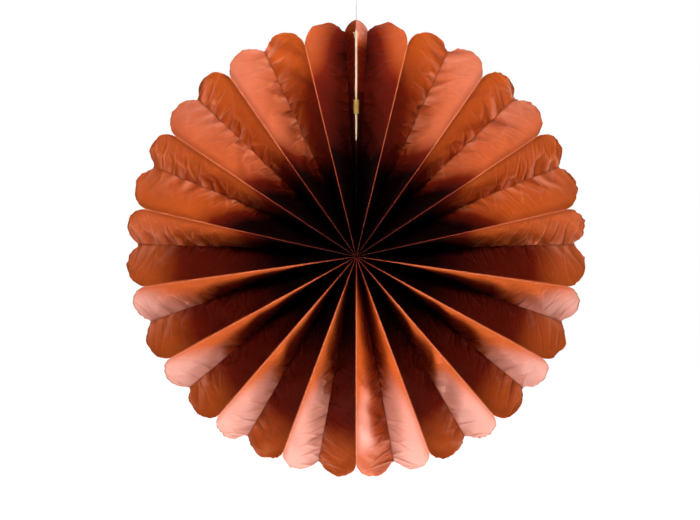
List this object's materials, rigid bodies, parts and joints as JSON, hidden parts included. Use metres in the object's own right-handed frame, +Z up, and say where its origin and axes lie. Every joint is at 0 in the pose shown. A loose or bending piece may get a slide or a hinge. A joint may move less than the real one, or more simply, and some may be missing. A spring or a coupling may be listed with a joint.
{
  "type": "paper fan rosette",
  "caption": "Round hanging decoration of tissue paper, folded like an accordion and opened into a full circle with a scalloped rim.",
  "frame": {"origin": "middle of the hub, on the circle's axis, halfway between the front folds and the back folds", "axes": "+Z up along the seam and the hanging thread, -Y out of the front, +X to the right as seen from the front"},
  "size_m": [0.3994, 0.0408, 0.4454],
  "materials": {
    "tissue": "satin",
    "card": "matte",
    "clip": "satin",
    "binding": "matte",
    "thread": "matte"
  },
  "bodies": {
    "root": {"pleated_fan": "tissue", "end_card_left": "card", "end_card_right": "card", "seam_clip": "clip", "binding_thread": "binding", "thread_knot": "thread", "hanging_thread": "thread", "thread_loop": "thread"}
  },
  "joints": []
}
